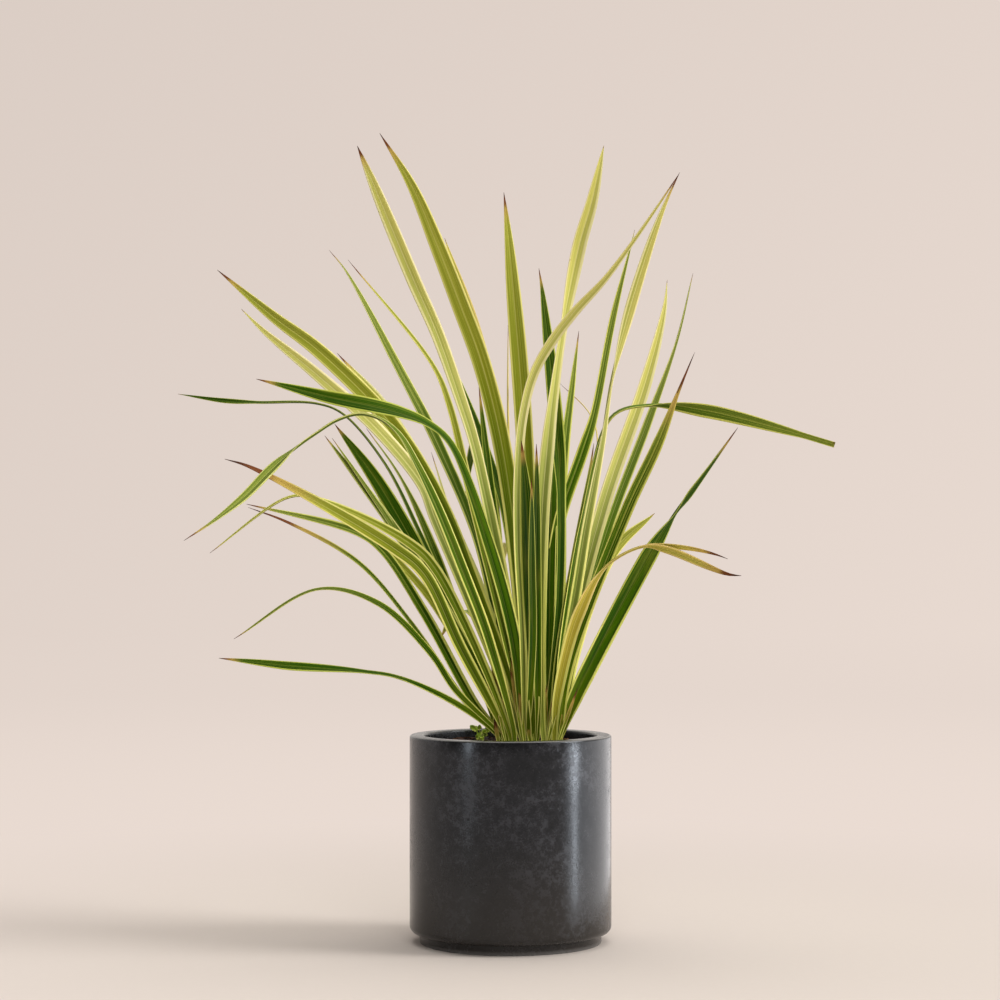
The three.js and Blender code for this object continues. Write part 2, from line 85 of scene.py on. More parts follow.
# Fan: column, row and leaves. A leaf has its full width, its lean or bearing in degrees, its tone,
# the length of its brown tip, and its route from the base upwards: across, up and roll where it is
# read from the front, else out and up. A fork leaves the route after so many points, with a width
# and a route of its own.
FANS = {
    "left_front": (-1, -1, [
        dict(width=12, lean=-20, tone="deep", brown=12, route=[  # low flat leaf
            (-55, 277, 45), (-133, 315, 75), (-178, 323, 70), (-271, 331, 15), (-350, 340, 40)]),
        dict(width=10, lean=-13, tone="fresh", brown=10, route=[  # low arching leaf
            (-67, 302, 25), (-97, 346, 40), (-159, 405, 50), (-231, 422, 70), (-332, 363, 60)]),
        dict(width=16, lean=-29, tone="olive", brown=62, route=[  # brown-tipped leaf
            (-62, 355, 20), (-104, 441, 25), (-139, 471, 25), (-313, 569, 55), (-343, 579, 60)]),
        dict(width=13, lean=-22, tone="olive", brown=10, route=[  # drooping leaf behind it
            (-89, 445, 25), (-123, 479, 25), (-238, 532, 78), (-267, 532, 80), (-361, 466, 60)]),
        dict(width=15, lean=-32, tone="grey", brown=18, route=[  # long arching leaf over the tip
            (-27, 362, 20), (-61, 452, 30), (-89, 521, 45), (-113, 571, 58), (-135, 608, 68),
            (-157, 626, 80), (-181, 632, 82), (-207, 625, 83), (-233, 609, 84), (-257, 592, 88),
            (-286, 567, 25), (-320, 533, 10), (-355, 505, 45), (-392, 481, 60)]),
    ]),
    "left_middle": (-1, 0, [
        dict(width=11, lean=-7, tone="fresh", brown=60, route=[  # thin leaf to the left
            (-58, 290, 45), (-121, 383, 65), (-183, 454, 66), (-267, 502, 68), (-315, 521, 70)]),
        dict(width=14, lean=-3, tone="fresh", brown=16, route=[  # leaf with a level tip
            (-44, 286, 20), (-103, 392, 30), (-154, 469, 45), (-183, 490, 50), (-317, 525, 60)]),
        dict(width=14, lean=0, tone="olive", route=[  # olive leaf under the brown tip
            (-94, 406, 50), (-157, 475, 50), (-197, 506, 60)]),
        dict(width=16, lean=4, tone="grey", brown=8, route=[  # leaf with a forked tip
            (-81, 401, 30), (-128, 477, 40), (-223, 607, 55)],
            forks=[(2, 9, [(-214, 604, 55)])]),
        dict(width=21, lean=8, tone="deep", brown=9, route=[  # dark broad leaf
            (-69, 379, 5), (-89, 425, 5), (-161, 553, 10), (-211, 621, 15)]),
    ]),
    "left_back": (-1, 1, [
        dict(width=14, lean=25, tone="fresh", brown=14, route=[  # thin leaf beside the dark one
            (-88, 458, 40), (-133, 557, 75), (-173, 616, 80)]),
        dict(width=17, bearing=98, tone="deep", brown=18, route=[  # leaf arching back
            (16, 105), (80, 255), (150, 335), (230, 370), (315, 350), (370, 300)]),
        dict(width=16, bearing=106, tone="fresh", brown=12, route=[  # low leaf arching back
            (24, 48), (85, 112), (165, 146), (250, 144), (325, 112)]),
        dict(width=14, lean=20, tone="deep", brown=3, route=[  # outermost level leaf
            (-45, 356, 45), (-79, 422, 60), (-109, 487, 70), (-152, 574, 82), (-202, 633, 86),
            (-233, 645, 87), (-307, 646, 70), (-346, 649, 20), (-399, 657, 20)]),
    ]),
    "middle_front": (0, -1, [
        dict(width=22, lean=-18, tone="deep", brown=12, route=[  # dark leaf arching left
            (4, 350, 35), (-28, 476, 50), (-73, 595, 66), (-99, 619, 66), (-135, 634, 48),
            (-226, 655, 0), (-305, 675, 30)]),
        dict(width=15, lean=-24, tone="lemon", brown=18, route=[  # leaf arching right
            (14, 362, 30), (8, 476, 40), (8, 566, 45), (14, 632, 45), (27, 682, 45),
            (49, 721, 45), (77, 757, 50), (113, 796, 62), (149, 844, 66), (177, 884, 62),
            (202, 921, 70)]),
        dict(width=10, lean=-42, tone="deep", route=[  # short leaf in the middle
            (26, 362, 20), (25, 458, 30), (25, 556, 50)]),
        dict(width=22, lean=-11, tone="olive", brown=20, route=[  # tallest leaf
            (11, 428, 0), (1, 524, 0), (-14, 614, 0), (-35, 695, 0), (-61, 766, 0), (-89, 838, 0),
            (-119, 908, 0), (-157, 970, 15)]),
        dict(width=18, lean=-36, tone="deep", route=[  # dark leaf in the middle
            (22, 434, 10), (19, 518, 15), (13, 601, 30)]),
        dict(width=11, lean=-40, tone="deep", route=[  # young leaf in the middle
            (32, 362, 10), (31, 482, 20), (31, 597, 40)]),
    ]),
    "middle": (0, 0, [
        dict(width=18, lean=1, tone="lemon", brown=3, route=[  # pale left leaf
            (-20, 338, 15), (-49, 409, 20), (-91, 508, 30), (-106, 547, 35), (-159, 613, 30),
            (-231, 679, 8), (-298, 734, 12), (-323, 759, 30)]),
        dict(width=21, lean=8, tone="olive", brown=20, route=[  # long left leaf
            (-3, 314, 5), (-53, 448, 5), (-76, 506, 10), (-100, 554, 15), (-127, 598, 15),
            (-157, 637, 15), (-232, 710, 10), (-284, 749, 8), (-352, 806, 25)]),
        dict(width=13, lean=-8, tone="olive", brown=22, route=[  # orange-edged leaf
            (-4, 350, 30), (-46, 524, 40), (-75, 646, 50), (-94, 691, 65), (-195, 818, 76)]),
        dict(width=18, lean=-4, tone="lemon", brown=14, taper=6, route=[  # yellow leaf
            (4, 350, 15), (-14, 452, 25), (-31, 536, 40), (-46, 602, 42), (-64, 659, 38),
            (-88, 728, 25), (-117, 795, 5), (-184, 955, 5)]),
        dict(width=22, lean=4, tone="olive", brown=18, route=[  # tall middle leaf
            (27, 338, 0), (17, 602, 0), (1, 806, 5), (-8, 899, 30)]),
    ]),
    "middle_back": (0, 1, [
        dict(width=17, lean=17, tone="lemon", route=[  # leaf behind the long left one
            (-43, 434, 25), (-146, 634, 30), (-208, 706, 40)]),
        dict(width=10, lean=31, tone="lemon", route=[  # thin pale leaf
            (-15, 356, 50), (-61, 476, 60), (-95, 587, 72)]),
        dict(width=17, lean=28, tone="grey", brown=16, route=[  # grey-green leaf
            (-7, 338, 20), (-41, 482, 40), (-85, 591, 35), (-142, 701, 45), (-199, 806, 70),
            (-218, 830, 75)]),
        dict(width=17, bearing=92, tone="olive", brown=20, route=[  # tall leaf arching back
            (14, 140), (50, 280), (115, 392), (205, 458), (300, 466), (375, 425)]),
        dict(width=15, bearing=97, tone="lemon", brown=12, route=[  # low leaf arching back
            (16, 80), (62, 170), (140, 228), (225, 232), (295, 190)]),
        dict(width=12, lean=11, tone="deep", route=[  # narrow leaf behind the tallest
            (-13, 458, 20), (-35, 638, 25), (-38, 667, 50)]),
        dict(width=17, lean=21, tone="deep", brown=6, route=[  # dark leaf behind the yellow one
            (13, 362, 25), (-10, 524, 50), (-77, 710, 40)]),
        dict(width=16, lean=14, tone="straw", brown=4, route=[  # leaf behind the tallest
            (-4, 560, 0), (-40, 728, 0), (-79, 844, 20)]),
        dict(width=9, lean=22, tone="straw", route=[  # thin upright leaf
            (9, 470, 80), (-3, 614, 84), (-3, 740, 80)]),
    ]),
    "right_front": (1, -1, [
        dict(width=18, lean=-7, tone="lemon", brown=2, taper=6, route=[  # tall right leaf
            (35, 350, 0), (38, 518, 10), (43, 584, 20), (49, 644, 45), (63, 743, 62),
            (83, 838, 10), (97, 886, 10), (112, 955, 20)]),
        dict(width=17, lean=-14, tone="lemon", brown=18, route=[  # right leaf with a pinched middle
            (77, 419, 30), (89, 494, 45), (109, 602, 65), (121, 676, 84), (142, 757, 35),
            (171, 848, 25), (188, 892, 45), (203, 923, 65)]),
        dict(width=15, lean=-25, tone="straw", brown=26, route=[  # broad leaf with a split tip
            (56, 292, 0), (80, 389, 5), (111, 448, 78), (159, 475, 78), (188, 471, 50),
            (261, 441, 30), (277, 439, 30)],
            forks=[(4, 9, [(189, 475, 40), (215, 472, 30), (230, 469, 25), (248, 464, 25),
                           (261, 459, 30)])]),
        dict(width=15, lean=-17, tone="fresh", brown=46, route=[  # leaf with a long brown tip
            (69, 328, 5), (139, 517, 10), (176, 597, 15), (200, 659, 60), (221, 707, 75)],
            forks=[(4, 8, [(208, 676, 75)])]),
    ]),
    "right_middle": (1, 0, [
        dict(width=19, lean=4, tone="deep", brown=12, route=[  # dark leaf right of the middle
            (57, 410, 50), (59, 542, 50), (56, 602, 15), (39, 772, 25), (34, 808, 45)]),
        dict(width=19, lean=6, tone="lemon", brown=3, route=[  # pale upright leaf on the right
            (111, 524, 25), (161, 669, 20), (184, 758, 35), (188, 794, 65)]),
        dict(width=13, lean=-3, tone="fresh", route=[  # short leaf between
            (56, 332, 20), (88, 524, 45), (100, 598, 65)]),
        dict(width=20, lean=-6, tone="fresh", brown=1, tip=7, route=[  # level leaf on the right
            (61, 344, 30), (86, 506, 60), (121, 631, 88), (170, 645, 88), (237, 637, 25),
            (338, 611, 0), (389, 596, 10)]),
        dict(width=24, lean=0, tone="deep", brown=20, route=[  # folded leaf on the right
            (82, 303, 0), (166, 466, 30), (197, 515, 86), (213, 537, 65), (273, 617, 78)]),
    ]),
    "right_back": (1, 1, [
        dict(width=16, lean=13, tone="fresh", brown=4, route=[  # curved upright leaf
            (44, 362, 15), (49, 446, 15), (59, 508, 15), (87, 591, 20), (99, 631, 50),
            (123, 753, 50), (149, 854, 70)]),
        dict(width=14, lean=28, tone="fresh", route=[  # olive leaf in the middle
            (64, 584, 25), (74, 670, 40), (82, 733, 60)]),
        dict(width=16, bearing=86, tone="fresh", brown=18, route=[  # leaf arching back
            (12, 120), (50, 250), (118, 345), (205, 385), (295, 365), (350, 315)]),
        dict(width=15, bearing=80, tone="grey", brown=10, route=[  # low leaf arching back
            (16, 68), (60, 136), (135, 178), (225, 182), (300, 150)]),
        dict(width=7, lean=33, tone="straw", brown=30, route=[  # dry curled tip
            (69, 374, 50), (104, 602, 76), (95, 633, 78), (59, 670, 78)]),
        dict(width=16, lean=15, tone="grey", brown=8, route=[  # thin-tipped leaf on the right
            (70, 332, 20), (118, 501, 40), (163, 621, 46), (199, 722, 72), (219, 802, 80)]),
        dict(width=18, lean=34, tone="olive", brown=4, route=[  # short leaf leaning away
            (73, 338, 15), (122, 467, 20), (173, 514, 20)]),
    ]),
}


def rgb(*rgb):
    """A colour given in ordinary 0 to 255 display values, as linear light with alpha."""
    scaled = [v / 255 for v in rgb]
    return tuple(v / 12.92 if v <= 0.04045 else ((v + 0.055) / 1.055) ** 2.4
                 for v in scaled) + (1.0,)


# Tone of a leaf: its green or yellow body, its pale margins, and the share of each half they take
TONES = {
    "deep": (rgb(44, 78, 0), rgb(196, 202, 92), 0.09),
    "olive": (rgb(138, 143, 34), rgb(236, 228, 136), 0.20),
    "grey": (rgb(92, 114, 32), rgb(216, 214, 130), 0.18),
    "lemon": (rgb(204, 202, 114), rgb(246, 236, 174), 0.30),
    "fresh": (rgb(66, 100, 2), rgb(222, 220, 112), 0.19),
    "straw": (rgb(206, 186, 70), rgb(246, 220, 138), 0.34),
    "sheath": (rgb(88, 80, 30), rgb(128, 112, 54), 0.12),
    "dry": (rgb(132, 88, 44), rgb(206, 168, 104), 0.30),
    "weed": (rgb(180, 222, 60), rgb(204, 232, 110), 0.34),
}
BROWN_TIP = 16  # length of a brown tip where the table gives none
SHADE_SPREAD = 0.12  # how much lighter or darker one leaf is than its tone
SEED_LIMIT = 40  # each blade gets a seed from 0 to this, for its own noise


# Small helpers

def smoothstep(x, low, high):
    s = np.clip((np.asarray(x, float) - low) / (high - low), 0, 1)
    return s * s * (3 - 2 * s)


def lengths_along(points):
    return np.concatenate([[0], np.cumsum(np.linalg.norm(np.diff(points, axis=0), axis=1))])


def unit(v):
    return v / np.linalg.norm(v, axis=-1, keepdims=True)


def linked(name, data):
    """A new object in the scene."""
    thing = bpy.data.objects.new(name, data)
    bpy.context.scene.collection.objects.link(thing)
    return thing


def new_mesh(name, vertices, faces):
    mesh = bpy.data.meshes.new(name)
    mesh.from_pydata(vertices, [], faces)
    mesh.update()
    return mesh


def shade(mesh, smooth=True):
    mesh.polygons.foreach_set("use_smooth", [smooth] * len(mesh.polygons))


def new_piece(name, mesh, slot, *nodes):
    thing = linked(name, mesh)
    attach(thing, "root")
    if nodes:
        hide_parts(*nodes)


# Leaves

ACROSS = 13  # points across one side of a blade
STEP_LENGTH = 7
FEWEST_STEPS = 10
SAMPLES_PER_SPAN = 48
TANGENT_REACH = 0.004  # shares of a blade's length
ROLL_REACH = 0.012
EDGE_THICKNESS = 0.55
MIDDLE_THICKNESS = 0.95
KEEL = 0.55
KEEL_HALF_WIDTH = 0.12  # shares of a blade's half width
FOLD_ROUNDING = 0.10
BOW = 0.05
WAVE = 0.045
WAVE_LENGTHS = (41, 67)
KEEL_GROWS = (3, 12)  # widths of the blade between which it rises
KEEL_FADES = 0.6
FINEST_TIP = 0.35


def catmull_rom(points):
    """A centripetal Catmull-Rom curve through the points, as many points close together."""
    p = np.vstack([2 * points[0] - points[1], points, 2 * points[-1] - points[-2]])
    spans = []
    for a, b, c, d in zip(p, p[1:], p[2:], p[3:]):
        ab, bc, cd = (max(np.linalg.norm(v) ** 0.5, 1e-4) for v in (b - a, c - b, d - c))
        leave = ((b - a) / ab - (c - a) / (ab + bc) + (c - b) / bc) * bc
        arrive = ((c - b) / bc - (d - b) / (bc + cd) + (d - c) / cd) * bc
        t = np.arange(SAMPLES_PER_SPAN)[:, None] / SAMPLES_PER_SPAN
        spans.append(b + leave * t + (3 * (c - b) - 2 * leave - arrive) * t**2
                     + (2 * (b - c) + leave + arrive) * t**3)
    return np.vstack(spans + [points[-1:]])


def seen_path(route, lean, crown, place):
    """The 3-D points of a leaf read from the front, their rolls and shares of the length."""
    path = [(crown[0] + ROOT_SPREAD * place, ROOT_Z, route[0][2]),
            (crown[0] + COLLAR_SPREAD * place, COLLAR_Z, route[0][2]), *route]
    flat = np.array(path, float)
    lengths = lengths_along(flat[:, :2])
    upright = lengths[1]
    share = np.maximum(0, lengths - upright) / (lengths[-1] - upright)
    y = crown[1] + math.tan(math.radians(lean)) * (lengths[-1] - upright) * share**LEAN_POWER
    distance = (y - EYE[1]) / -EYE[1]
    points = np.column_stack([EYE[0] + (flat[:, 0] - EYE[0]) * distance, y,
                              EYE[2] + (flat[:, 1] - EYE[2]) * distance])
    return points, flat[:, 2], lengths / lengths[-1]


def arching_path(route, bearing, crown, place):
    """The 3-D points of a leaf that arches in an upright plane, and the direction to its side."""
    a = math.radians(bearing)
    out = np.array([math.cos(a), math.sin(a), 0])
    root = np.array([crown[0] + ROOT_SPREAD * place, crown[1], ROOT_Z])
    collar = np.array([crown[0] + COLLAR_SPREAD * place, crown[1], COLLAR_Z])
    points = [root, collar] + [collar + out * o + (0, 0, u) for o, u in route]
    return np.array(points), np.array([out[1], -out[0], 0])


def width_share(t, taper):
    rising = BASE_SHARE + (1 - BASE_SHARE) * smoothstep(t, 0, FULL_WIDTH_BY)
    falling = 1 - np.clip((t - TAPER_START) / (1 - TAPER_START), 0, 1) ** taper
    return np.where(t < TAPER_START, rising, falling)


class Blades:
    """Collects blades as rings of points, with what their material needs at each point.

    "where" is the place across and the lengths from the base and to the tip. "traits" is one plus
    the seed, negative below, the length of the brown tip, and the share of the margins."""

    LAYERS = {"where": "VECTOR", "traits": "VECTOR", "body": "COLOR", "margin": "COLOR"}

    def __init__(self):
        self.points, self.faces, self.count = [], [], 0
        self.data = {key: [] for key in self.LAYERS}

    def add(self, rings, *values):
        rows, columns = rings.shape[:2]
        index = self.count + np.arange(rows * columns).reshape(rows, columns)
        a, b = index[:-1], np.roll(index[:-1], -1, axis=1)
        c, d = np.roll(index[1:], -1, axis=1), index[1:]
        self.faces += np.stack([a, b, c, d], axis=-1).reshape(-1, 4).tolist()
        for ring, turn in ((index[0], 1), (index[-1], -1)):
            for i in range(columns // 2 - 1):
                self.faces.append([int(v) for v in (ring[i], ring[columns - 1 - i],
                                                    ring[columns - 2 - i], ring[i + 1])[::turn]])
        self.points.append(rings.reshape(-1, 3))
        self.count += rows * columns
        for key, value in zip(self.data, values):
            spread = np.broadcast_to(value, (rows, columns, np.shape(value)[-1]))
            self.data[key].append(spread.reshape(rows * columns, -1))

    def mesh(self, name, material):
        mesh = new_mesh(name, (np.vstack(self.points) * MM).tolist(), self.faces)
        for key, kind in self.LAYERS.items():
            layer = mesh.attributes.new(key, "FLOAT_" + kind, "POINT")
            flat = np.vstack(self.data[key]).ravel().astype(np.float32)
            layer.data.foreach_set(kind.lower(), flat)
        mesh.materials.append(material)
        shade(mesh)
        return mesh


def add_blade(blades, points, rolls, frame_up, leaf, rng, start=0.0, width=None):
    """One blade along the curve through the points, from a share of its length to its tip.

    frame_up gives the directions across the blade and out of its upper side for its tangents."""
    dense = catmull_rom(points)
    reached = lengths_along(dense)
    length = reached[-1]
    steps = max(FEWEST_STEPS, round(length * (1 - start) / STEP_LENGTH))
    t = np.linspace(start, 1, steps + 1)

    def at(share):
        return np.column_stack([np.interp(share * length, reached, dense[:, k]) for k in range(3)])

    tangent = unit(at(np.minimum(t + TANGENT_REACH, 1)) - at(np.maximum(t - TANGENT_REACH, 0)))
    chords = lengths_along(points)
    roll = sum(np.interp(t + k * ROLL_REACH, chords / chords[-1], rolls) for k in (-1, 0, 1)) / 3
    roll = np.radians(roll)[:, None]
    across, up = (v * np.cos(roll) + np.cross(tangent, v) * np.sin(roll) for v in frame_up(tangent))

    full_width = width or leaf["width"]
    base = WIDEST_BASE / BASE_SHARE
    full = np.minimum(full_width, base + (full_width - base) * np.clip(t / BASE_ENDS_BY, 0, 1))
    wide = np.maximum(leaf.get("tip", FINEST_TIP), full * width_share(t, leaf.get("taper", TAPER)))
    fold = np.radians(BASE_FOLD + (TIP_FOLD - BASE_FOLD) * smoothstep(t, 0, FOLD_OPENS_BY))
    sine, cosine = np.sin(fold)[:, None], np.cos(fold)[:, None]

    # The section is a shallow vee with a rounded fold, bowed halves, a slow wave and a keel below.
    u = np.linspace(-1, 1, ACROSS)
    e = FOLD_ROUNDING
    vee = (np.sqrt(u**2 + e**2) - e) / (math.sqrt(1 + e**2) - e)
    half = (0.5 * wide)[:, None]
    s = (t * length)[:, None]
    phase = rng.uniform(0, 2 * math.pi, 3)
    twist, lift = (np.sin(s / span + p) for span, p in zip(WAVE_LENGTHS, phase))
    wave = twist * np.abs(u) * u + 0.8 * lift * u**2
    bow = BOW * np.sin(np.pi * np.abs(u))
    rise = half * (sine * vee + WAVE * wave + bow * cosine)
    side = half * cosine * u
    thick = EDGE_THICKNESS + (MIDDLE_THICKNESS - EDGE_THICKNESS) * (1 - np.abs(u)) ** 1.5
    thick = np.minimum(thick, 0.28 * wide[:, None] + 0.12)
    ridge = KEEL * np.exp(-((u / KEEL_HALF_WIDTH) ** 2))
    keel = ridge * smoothstep(wide, *KEEL_GROWS)[:, None] * (1 - KEEL_FADES * t)[:, None]
    top = np.stack([side, rise + 0.5 * thick], axis=-1)
    bottom = np.stack([side, rise - 0.5 * thick - keel], axis=-1)[:, ::-1]
    section = np.concatenate([top, bottom], axis=1)
    rings = at(t)[:, None] + across[:, None] * section[..., :1] + up[:, None] * section[..., 1:]

    around = np.concatenate([u, u[::-1]])
    face = np.concatenate([np.ones(ACROSS), -np.ones(ACROSS)])
    seeded = face * (1 + rng.uniform(0, SEED_LIMIT))
    where = np.stack(np.broadcast_arrays(around, s * MM, ((1 - t) * length)[:, None] * MM), -1)
    body, margin, share = TONES[leaf["tone"]]
    brown = leaf.get("brown", BROWN_TIP) * MM
    traits = np.stack(np.broadcast_arrays(seeded, brown, share), -1)
    lightness = 1 + rng.uniform(-SHADE_SPREAD, SHADE_SPREAD)
    blades.add(rings, where, traits, tuple(v * lightness for v in body[:3]) + (1.0,), margin)


def facing_front(tangent):
    up = unit((0, -1, 0) - tangent * (-tangent[:, 1])[:, None])
    return np.cross(tangent, up), up


def facing_up(side):
    def frame_up(tangent):
        across = unit(side - tangent * (tangent @ side)[:, None])
        return across, np.cross(across, tangent)
    return frame_up


def add_leaf(blades, leaf, crown, place, rng):
    if "bearing" in leaf:
        points, side = arching_path(leaf["route"], leaf["bearing"], crown, place)
        add_blade(blades, points, np.zeros(len(points)), facing_up(side), leaf, rng)
        return
    points, rolls, _ = seen_path(leaf["route"], leaf["lean"], crown, place)
    add_blade(blades, points, rolls, facing_front, leaf, rng)
    for after, width, route in leaf.get("forks", []):
        points, rolls, shares = seen_path(leaf["route"][:after] + route, leaf["lean"], crown, place)
        add_blade(blades, points, rolls, facing_front, leaf, rng, shares[after + 1], width)


# Height of a crown's rings, and their share of its full width and depth
CROWN_RINGS = [(CROWN_BOTTOM, 0.8), (CROWN_BOTTOM + 8, 0.96), (226, 0.97), (233, 0.97), (237, 0.96),
               (238.6, 0.93), (239.8, 0.86), (240.6, 0.74), (241.2, 0.55), (241.5, 0.3)]
CROWN_SPOKES = 60
CROWN_RIBS = 15
RIB_DEPTH = 0.025
# A crown is far enough from a tip to be without the tip's brown, both in metres.
CROWN_TO_TIP = 0.15
CROWN_BROWN = 0.01


def add_crown(blades, crown, rng):
    """The fan's fleshy base, ribbed by the leaves that grow from it."""
    angle = np.linspace(0, 2 * math.pi, CROWN_SPOKES, endpoint=False)
    rib = 1 - RIB_DEPTH * (1 + np.cos(CROWN_RIBS * angle + rng.uniform(0, 6)))
    east, north = (np.sign(v) * np.abs(v) ** (2 / CROWN_SQUARENESS)
                   for v in (np.cos(angle), np.sin(angle)))
    rings = np.array([[(crown[0] + CROWN_HALF_WIDTH * r * w * a,
                        crown[1] + CROWN_HALF_DEPTH * r * w * b, z)
                       for a, b, w in zip(east, north, rib)] for z, r in CROWN_RINGS])
    height = rings[..., 2] * MM
    where = np.stack(np.broadcast_arrays(np.sin(3 * angle), height, CROWN_TO_TIP), -1)
    body, margin, share = TONES["sheath"]
    blades.add(rings, where, (1 + rng.uniform(0, SEED_LIMIT), CROWN_BROWN, share), body, margin)


STUBS_PER_CROWN = 3
STUB_FROM_Z = 238
STUB_HEIGHTS = (24, 105)
STUB_WIDTHS = (4, 6)
STUB_BROWNS = (6, 20)
STUB_LEANS_OUT = 0.12


def add_stubs(blades, crown, rng):
    """Short dry ends of old leaves between the green ones."""
    for _ in range(STUBS_PER_CROWN):
        x = crown[0] + rng.uniform(-0.8, 0.8) * CROWN_HALF_WIDTH
        y = crown[1] - rng.uniform(0.2, 0.8) * CROWN_HALF_DEPTH
        height = rng.uniform(*STUB_HEIGHTS)
        lean = rng.uniform(-0.15, 0.15) + (x - CLUMP_X) / 150
        points = np.array([(x + lean * h, y - STUB_LEANS_OUT * h, STUB_FROM_Z + h)
                           for h in height * np.linspace(0, 1, 4)])
        stub = dict(width=rng.uniform(*STUB_WIDTHS), tone="dry", brown=rng.uniform(*STUB_BROWNS),
                    taper=1.5)
        add_blade(blades, points, rng.uniform(-30, 30, 4), facing_front, stub, rng)


SEEDLING_AT = np.array([-35.0, -22.0, 236.5])
SEEDLING_SEED = 40
SEEDLING_STALKS = 11
SEEDLING_TURN = 2.4  # radians from one stalk to the next
NO_BROWN = 0.1  # a tip too short to see


def seedling():
    """A small weed at the left of the clump: leaflets on thin stalks."""
    rng = np.random.default_rng(SEEDLING_SEED)
    blades = Blades()
    for i in range(SEEDLING_STALKS):
        east, north = math.cos(SEEDLING_TURN * i), math.sin(SEEDLING_TURN * i)
        reach, height = rng.uniform(2, 8), rng.uniform(6, 22)
        tip = SEEDLING_AT + (reach * east, reach * north, height)
        points = np.array([SEEDLING_AT, SEEDLING_AT * 0.5 + tip * 0.5 + (0, 0, 2), tip])
        stalk = dict(width=1.6, tone="weed", brown=NO_BROWN)
        add_blade(blades, points, np.zeros(3), facing_front, stalk, rng)
        end = tip + (rng.uniform(4, 7) * east, rng.uniform(4, 7) * north, rng.uniform(-2, 3))
        points = np.array([tip - (0, 0, 0.5), tip * 0.5 + end * 0.5 + (0, 0, 1.5), end])
        leaflet = dict(width=rng.uniform(6, 9), tone="weed", brown=NO_BROWN, taper=1.6)
        add_blade(blades, points, rng.uniform(-40, 40, 3), facing_front, leaflet, rng)
    return blades


# Node materials

class Nodes:
    """Short ways to write the node tree of a new material or world."""

    def __init__(self, owner):
        self.owner = owner
        owner.use_nodes = True
        self.tree = owner.node_tree
        self.shader = next(n for n in self.tree.nodes if n.outputs)
        self.output = next(n for n in self.tree.nodes if not n.outputs)

    def put(self, socket, value):
        if isinstance(value, bpy.types.NodeSocket):
            self.tree.links.new(value, socket)
        elif value is not None:
            socket.default_value = value

    def node(self, kind, **settings):
        n = self.tree.nodes.new("ShaderNode" + kind)
        for key, value in settings.items():
            setattr(n, key, value)
        return n

    def fed(self, kind, *values, **settings):
        """A node with values for its first inputs; its first output."""
        n = self.node(kind, **settings)
        for socket, value in zip(n.inputs, values):
            self.put(socket, value)
        return n.outputs[0]

    def math(self, operation, a, b=None, c=None, clamp=False):
        return self.fed("Math", a, b, c, operation=operation, use_clamp=clamp)

    def times(self, a, b):
        return self.math("MULTIPLY", a, b)

    def span(self, value, low, high, out_low=0.0, out_high=1.0):
        """A soft step from out_low to out_high while the value goes from low to high."""
        return self.fed("MapRange", value, low, high, out_low, out_high,
                        interpolation_type="SMOOTHSTEP")

    def mix(self, factor, a, b, blend="MIX"):
        n = self.node("Mix", data_type="RGBA", blend_type=blend)
        for index, value in ((0, factor), (6, a), (7, b)):
            self.put(n.inputs[index], value)
        return n.outputs[2]

    def tinted(self, colour, tint):
        return self.mix(1.0, colour, tint, "MULTIPLY")

    def attribute(self, name, output="Vector"):
        return self.node("Attribute", attribute_name=name).outputs[output]

    def split(self, vector):
        n = self.node("SeparateXYZ")
        self.put(n.inputs[0], vector)
        return n.outputs

    def join(self, x, y, z):
        return self.fed("CombineXYZ", x, y, z)

    def from_axis(self, x, y):
        """Distance from the upright axis."""
        return self.math("SQRT", self.math("ADD", self.times(x, x), self.times(y, y)))

    def textured(self, kind, vector, **settings):
        n = self.node(kind)
        self.put(n.inputs["Vector"], vector)
        for key, value in settings.items():
            n.inputs[key].default_value = value
        return n.outputs[0]

    def noise(self, vector, scale, detail=2.0, roughness=0.5, distortion=0.0):
        return self.textured("TexNoise", vector, Scale=scale, Detail=detail, Roughness=roughness,
                             Distortion=distortion)

    def cells(self, vector, scale):
        return self.textured("TexVoronoi", vector, Scale=scale)

    def coordinates(self, output="Object"):
        return self.node("TexCoord").outputs[output]

    def bump(self, height, strength, distance):
        n = self.node("Bump")
        for key, value in (("Strength", strength), ("Distance", distance), ("Height", height)):
            self.put(n.inputs[key], value)
        return n.outputs[0]

    def finish(self, colour, roughness, normal, **fixed):
        surface = {"Base Color": colour, "Roughness": roughness, "Normal": normal, **fixed}
        for key, value in surface.items():
            self.put(self.shader.inputs[key.replace("_", " ")], value)
        return self.owner


def new_material(name):
    return Nodes(bpy.data.materials.new(name))


# Colours that all leaves share
PALE_FOOT = rgb(250, 248, 134)
# Deep greens of leaves low down, darkened partly as painted shade of the crowded clump
DEEP_AND_SHADED_GREENS = (rgb(82, 122, 2), rgb(34, 72, 1))
YELLOWED = rgb(208, 198, 100)
GREEN_FOOT = rgb(140, 166, 20)
UNDERSIDE = rgb(84, 116, 22)
OLIVE_PATCH = rgb(176, 172, 60)
RUST = rgb(126, 74, 34)
DRIED = rgb(186, 148, 78)
DEAD = rgb(112, 66, 38)
BLACKENED = rgb(48, 28, 22)
# Tints that darken a colour; the last one makes painted shade
VEIN_TINT = (0.50, 0.62, 0.40, 1)
STRIPE_TINT = (0.92, 1.0, 0.62, 1)
SHADE_TINT = (0.56, 0.62, 0.50, 1)


